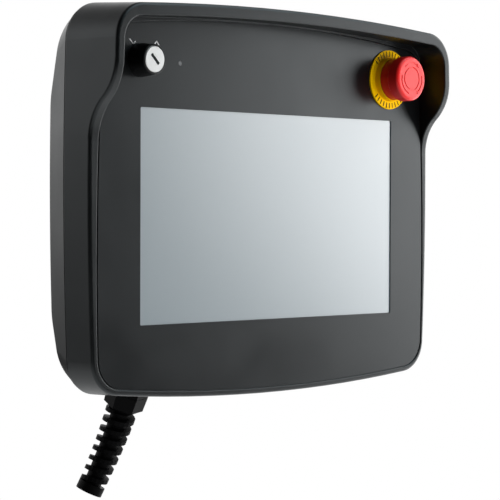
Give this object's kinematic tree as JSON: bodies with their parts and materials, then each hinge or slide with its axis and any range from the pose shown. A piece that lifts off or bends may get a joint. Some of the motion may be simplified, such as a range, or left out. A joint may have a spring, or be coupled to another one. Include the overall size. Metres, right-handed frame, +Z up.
{
  "type": "touch screen operator panel",
  "caption": "Hooded touch screen operator panel with an emergency stop, a key switch, a rear enabling switch, a threaded arm mount and a cable gland with a spiral bend guard.",
  "frame": {"origin": "centre of the arm mount's four threaded inserts, on the flat of the rear cover", "axes": "+X to the operator's right, +Y out of the back towards the arm, +Z up"},
  "size_m": [0.2996, 0.0953, 0.2969],
  "materials": {
    "housing": "fine satin grain, dark grey",
    "overlay_film": "satin printed film, dark grey",
    "screen": "anti-glare touch surface over a dark display, pale grey",
    "seal_rubber": "matt black",
    "screw_steel": "zinc plated",
    "lcd_glass": "dark display glass",
    "sheet_steel": "plain sheet",
    "board": "green solder mask",
    "brass": "turned",
    "chip": "black mould compound",
    "aluminium": "plain",
    "terminal_green": "green plastic",
    "header_white": "off-white plastic",
    "cell_steel": "bright steel can",
    "ribbon": "amber film",
    "light_window": "unlit grey light pipe",
    "stop_yellow": "satin yellow",
    "stop_red": "semi-gloss red",
    "switch_black": "satin black",
    "switch_grey": "mid grey plastic",
    "key_steel": "fine satin metal face",
    "enable_black": "satin black",
    "enable_grey": "soft-touch dark grey",
    "gland_black": "matt black polyamide"
  },
  "bodies": {
    "housing": {"front_housing": "housing", "rear_housing": "housing", "front_overlay": "overlay_film", "touch_panel": "screen", "housing_seal": "seal_rubber", "display_gasket": "seal_rubber", "estop_seal": "seal_rubber", "key_seal": "seal_rubber", "gland_washer": "seal_rubber", "gland_grommet": "seal_rubber", "housing_screws": "screw_steel", "bracket_screws": "screw_steel", "board_screws": "screw_steel", "lcd_panel": "lcd_glass", "lcd_frame": "sheet_steel", "backlight_tray": "sheet_steel", "display_bracket": "sheet_steel", "main_board": "board", "board_standoffs": "brass", "mount_inserts": "brass", "processor": "chip", "heat_sink": "aluminium", "capacitors": "aluminium", "terminal_block": "terminal_green", "board_plugs": "header_white", "cell_holder": "header_white", "coin_cell": "cell_steel", "display_flex": "ribbon", "status_light": "light_window", "estop_legend_ring": "stop_yellow", "estop_collar": "stop_yellow", "estop_barrel": "switch_black", "key_barrel": "switch_black", "estop_locknut": "switch_grey", "key_locknut": "switch_grey", "estop_contact_block": "switch_grey", "key_contact_block": "switch_grey", "enable_bezel": "enable_black", "enable_module": "enable_black", "gland_body": "gland_black", "gland_locknut": "gland_black", "gland_spiral_nut": "gland_black"},
    "estop_plunger": {"estop_plunger": "switch_black"},
    "estop_head": {"estop_head": "stop_red"},
    "key_rotor": {"key_rotor": "key_steel"},
    "enable_paddle": {"enable_paddle": "enable_grey"}
  },
  "joints": [
    {"name": "estop_press", "type": "slide", "parent": "housing", "child": "estop_plunger", "axis": [0, 1, 0], "range_m": [0, 0.0032]},
    {"name": "estop_twist", "type": "hinge", "parent": "estop_plunger", "child": "estop_head", "pos_m": [0.1083, -0.0578, 0.08925], "axis": [0, 1, 0], "range_deg": [0, 45], "stiffness_Nm_per_rad": 0.05},
    {"name": "key_turn", "type": "hinge", "parent": "housing", "child": "key_rotor", "pos_m": [-0.1117, -0.0578, 0.08925], "axis": [0, 1, 0], "range_deg": [0, 90]},
    {"name": "enable_press", "type": "slide", "parent": "housing", "child": "enable_paddle", "axis": [0, -1, 0], "range_m": [0, 0.005], "stiffness_N_per_m": 2000}
  ]
}
